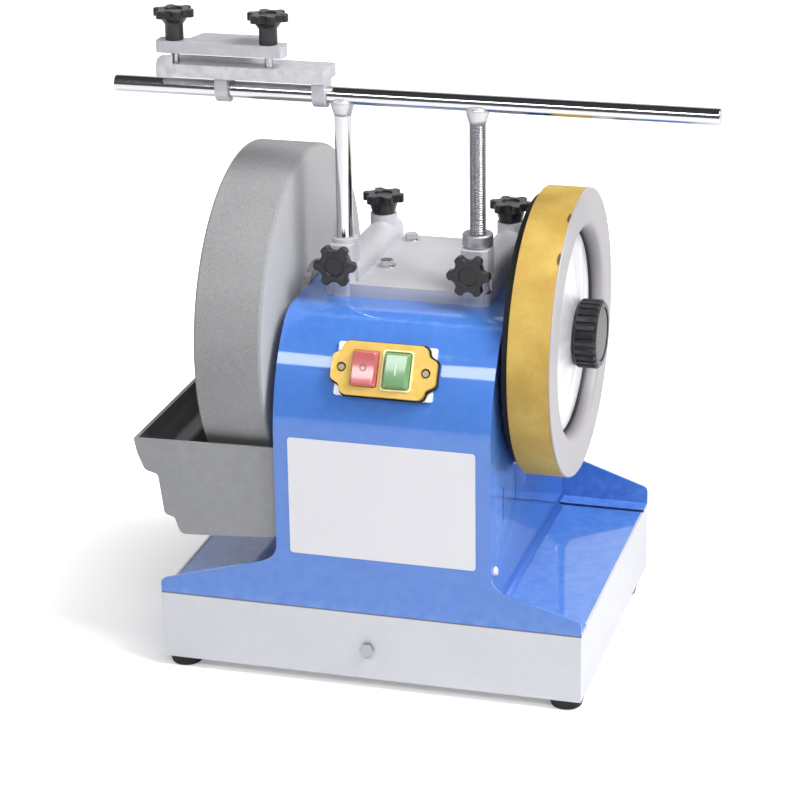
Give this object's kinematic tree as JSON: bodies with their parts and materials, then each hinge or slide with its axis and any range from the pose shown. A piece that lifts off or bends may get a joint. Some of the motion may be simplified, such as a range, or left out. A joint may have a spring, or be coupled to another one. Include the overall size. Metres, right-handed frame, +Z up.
{
  "type": "water-cooled knife grinder",
  "caption": "Tabletop wet grinder with a slow grinding stone dipping in a water tray, a leather honing wheel, a push-button switch and a height-adjustable bar carrying a blade jig.",
  "frame": {"origin": "on the floor under the middle of the spindle and the middle of the neck of the housing", "axes": "+X along the spindle towards the honing wheel, +Y away from the user, +Z up"},
  "size_m": [0.438, 0.259, 0.4748],
  "materials": {
    "blue_paint": "gloss enamel",
    "grey_paint": "fine textured enamel",
    "foot_rubber": "moulded",
    "drive_rubber": "matt",
    "zinc_steel": "bright zinc",
    "shaft_steel": "turned",
    "chromed_steel": "polished",
    "cast_aluminium": "tumbled casting",
    "jig_aluminium": "satin",
    "nut_steel": "turned",
    "wheel_plastic": "fine grain",
    "wheel_leather": "oiled",
    "disc_aluminium": "spun",
    "knob_plastic": "moulded, slight sheen",
    "stone_grit": "bonded grit",
    "tray_plastic": "moulded",
    "yellow_plastic": "moulded",
    "red_plastic": "moulded",
    "green_plastic": "moulded",
    "black_plastic": "moulded",
    "motor_paint": "satin enamel",
    "motor_alloy": "die cast",
    "core_iron": "stacked sheet",
    "bush_bronze": "sintered"
  },
  "bodies": {
    "housing": {"base_pan": "grey_paint", "rubber_feet": "foot_rubber", "base_bolt": "zinc_steel", "deck_plate": "blue_paint", "housing_shell": "blue_paint", "side_panel_left": "blue_paint", "side_panel_right": "blue_paint", "panel_screws": "zinc_steel", "tray_hanger": "zinc_steel", "cable_gland": "knob_plastic", "casting_plate": "cast_aluminium", "casting_sleeves_left": "cast_aluminium", "casting_sleeves_right": "cast_aluminium", "casting_screws": "zinc_steel", "switch_back_plate": "zinc_steel", "switch_gasket": "drive_rubber", "switch_cover": "yellow_plastic", "switch_box": "black_plastic", "switch_screws": "zinc_steel", "motor_casing": "motor_paint", "motor_end_cap_left": "motor_alloy", "motor_end_cap_right": "motor_alloy", "motor_cradle": "motor_paint", "stator_core": "core_iron", "shaft_bush_left": "bush_bronze", "shaft_bush_right": "bush_bronze"},
    "spindle": {"main_shaft": "shaft_steel", "grinding_stone": "stone_grit", "stone_flange_inner": "shaft_steel", "stone_flange_outer": "shaft_steel", "stone_nut": "zinc_steel", "honing_wheel": "wheel_plastic", "leather_band": "wheel_leather", "drive_ring": "drive_rubber", "wheel_disc": "disc_aluminium", "hand_knob": "knob_plastic"},
    "rotor": {"motor_shaft": "shaft_steel", "rotor_core": "core_iron", "drive_roller": "drive_rubber", "cooling_fan": "black_plastic"},
    "support": {"support_bar": "chromed_steel", "support_leg_left": "chromed_steel", "support_leg_right": "chromed_steel"},
    "height_nut": {"adjusting_nut": "nut_steel"},
    "front_clamp_left": {"front_knob_left": "knob_plastic", "front_stud_left": "shaft_steel"},
    "front_clamp_right": {"front_knob_right": "knob_plastic", "front_stud_right": "shaft_steel"},
    "rear_clamp_left": {"rear_knob_left": "knob_plastic", "rear_stud_left": "shaft_steel"},
    "rear_clamp_right": {"rear_knob_right": "knob_plastic", "rear_stud_right": "shaft_steel"},
    "jig": {"jig_body": "jig_aluminium", "jig_studs": "shaft_steel"},
    "jig_clamp": {"jig_clamp_plate": "jig_aluminium"},
    "jig_screw_left": {"jig_knob_left": "knob_plastic"},
    "jig_screw_right": {"jig_knob_right": "knob_plastic"},
    "tray": {"water_tray": "tray_plastic"},
    "start": {"start_button": "green_plastic"},
    "stop": {"stop_button": "red_plastic"}
  },
  "joints": [
    {"name": "spindle_spin", "type": "hinge", "parent": "housing", "child": "spindle", "pos_m": [0, 0, 0.242], "axis": [1, 0, 0], "continuous": true},
    {"name": "motor_spin", "type": "hinge", "parent": "housing", "child": "rotor", "pos_m": [0, 0, 0.1582], "axis": [1, 0, 0], "continuous": true},
    {"name": "support_height", "type": "slide", "parent": "housing", "child": "support", "axis": [0, 0, 1], "range_m": [-0.035, 0.02]},
    {"name": "height_nut_turn", "type": "hinge", "parent": "housing", "child": "height_nut", "pos_m": [0.049, -0.0375, 0.319], "axis": [0, 0, 1], "continuous": true},
    {"name": "front_clamp_left_turn", "type": "hinge", "parent": "housing", "child": "front_clamp_left", "pos_m": [-0.049, -0.0503, 0.3], "axis": [0, -1, 0], "range_deg": [0, 360]},
    {"name": "rear_clamp_left_turn", "type": "hinge", "parent": "housing", "child": "rear_clamp_left", "pos_m": [-0.049, 0.061, 0.3038], "axis": [0, 0, 1], "range_deg": [0, 360]},
    {"name": "front_clamp_right_turn", "type": "hinge", "parent": "housing", "child": "front_clamp_right", "pos_m": [0.049, -0.0503, 0.3], "axis": [0, -1, 0], "range_deg": [0, 360]},
    {"name": "rear_clamp_right_turn", "type": "hinge", "parent": "housing", "child": "rear_clamp_right", "pos_m": [0.049, 0.061, 0.3038], "axis": [0, 0, 1], "range_deg": [0, 360]},
    {"name": "jig_slide", "type": "slide", "parent": "support", "child": "jig", "axis": [1, 0, 0], "range_m": [-0.07, 0]},
    {"name": "jig_clamp_slide", "type": "slide", "parent": "jig", "child": "jig_clamp", "axis": [0, 0, 1], "range_m": [-0.0075, 0]},
    {"name": "jig_screw_left_turn", "type": "hinge", "parent": "jig_clamp", "child": "jig_screw_left", "pos_m": [-0.171, -0.042, 0.4528], "axis": [0, 0, 1], "range_deg": [0, 360]},
    {"name": "jig_screw_right_turn", "type": "hinge", "parent": "jig_clamp", "child": "jig_screw_right", "pos_m": [-0.101, -0.042, 0.4528], "axis": [0, 0, 1], "range_deg": [0, 360]},
    {"name": "tray_lift", "type": "slide", "parent": "housing", "child": "tray", "axis": [0, 0, 1], "range_m": [0, 0.0015]},
    {"name": "start_press", "type": "slide", "parent": "housing", "child": "start", "axis": [0, 0.8788, -0.4772], "range_m": [0, 0.003], "stiffness_N_per_m": 400},
    {"name": "stop_press", "type": "slide", "parent": "housing", "child": "stop", "axis": [0, 0.8788, -0.4772], "range_m": [0, 0.003], "stiffness_N_per_m": 400}
  ],
  "couplings": [
    {"joint": "motor_spin", "follows": "spindle_spin", "ratio": 13}
  ]
}
